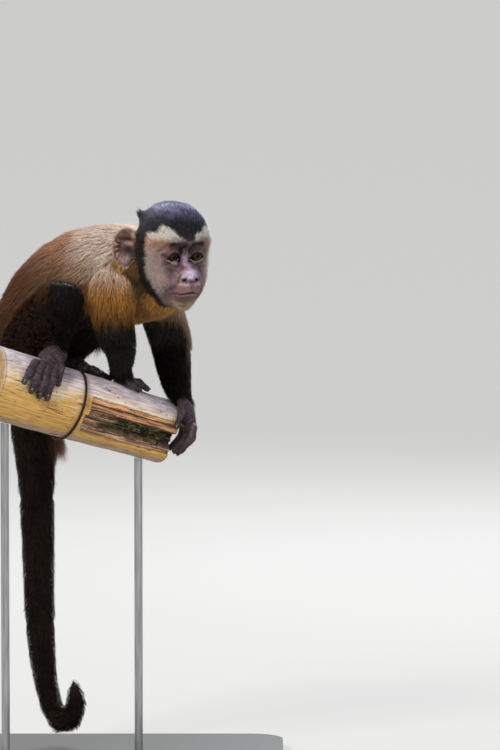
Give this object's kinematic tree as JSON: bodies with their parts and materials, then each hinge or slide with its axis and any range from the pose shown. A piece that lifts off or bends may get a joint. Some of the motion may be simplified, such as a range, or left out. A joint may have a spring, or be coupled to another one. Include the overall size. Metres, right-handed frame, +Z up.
{
  "type": "capuchin monkey",
  "caption": "Still life-size model of a young capuchin monkey squatting on a cut log, tail hanging in a small curl, held up by a flat display stand.",
  "frame": {"origin": "on the floor, at the middle of the underside of the stand's base plate", "axes": "+Z up; the log runs towards +X and away to +Y; the animal's trunk faces +X and a little -Y, and its face looks mostly towards -Y"},
  "size_m": [0.25, 0.1852, 0.4082],
  "materials": {
    "black_fur": "short black fur with a cool sheen: cap, sideburns, forearms and shins",
    "dark_fur": "brown-black fur of tail and thighs, grizzled with reddish brown",
    "gold_fur": "long golden-orange fur of chest and upper arms, paler tan on the back",
    "bare_skin": "bare wrinkled skin of face, ears, hands and feet, mauve-brown, slightly moist",
    "eye": "glossy eye with an olive-brown iris, black pupil and dark rim",
    "nail": "dark horn of the nails, semi-gloss",
    "weathered_log": "debarked weathered log, grey on top, yellow ochre below, torn grain and dark rotten pith in the split",
    "rusty_wire": "dark rusted tie wire",
    "stand_lacquer": "satin black lacquered steel plate",
    "stand_steel": "brushed dark steel rod"
  },
  "bodies": {
    "root": {"head": "black_fur", "neck": "gold_fur", "trunk": "gold_fur", "ear_right": "bare_skin", "ear_left": "bare_skin", "eye_right": "eye", "eye_left": "eye", "upper_arm_right": "gold_fur", "upper_arm_left": "gold_fur", "forearm_right": "black_fur", "forearm_left": "black_fur", "hand_right": "bare_skin", "hand_left": "bare_skin", "thigh_right": "dark_fur", "thigh_left": "dark_fur", "shin_right": "black_fur", "shin_left": "black_fur", "foot_right": "bare_skin", "foot_left": "bare_skin", "tail_base": "dark_fur", "tail_upper": "dark_fur", "tail_lower": "dark_fur", "tail_curl": "dark_fur", "perch_log": "weathered_log", "perch_wire_ring": "rusty_wire", "perch_wire_knot": "rusty_wire", "stand_base": "stand_lacquer", "stand_rod_1": "stand_steel", "stand_rod_2": "stand_steel"}
  },
  "joints": []
}
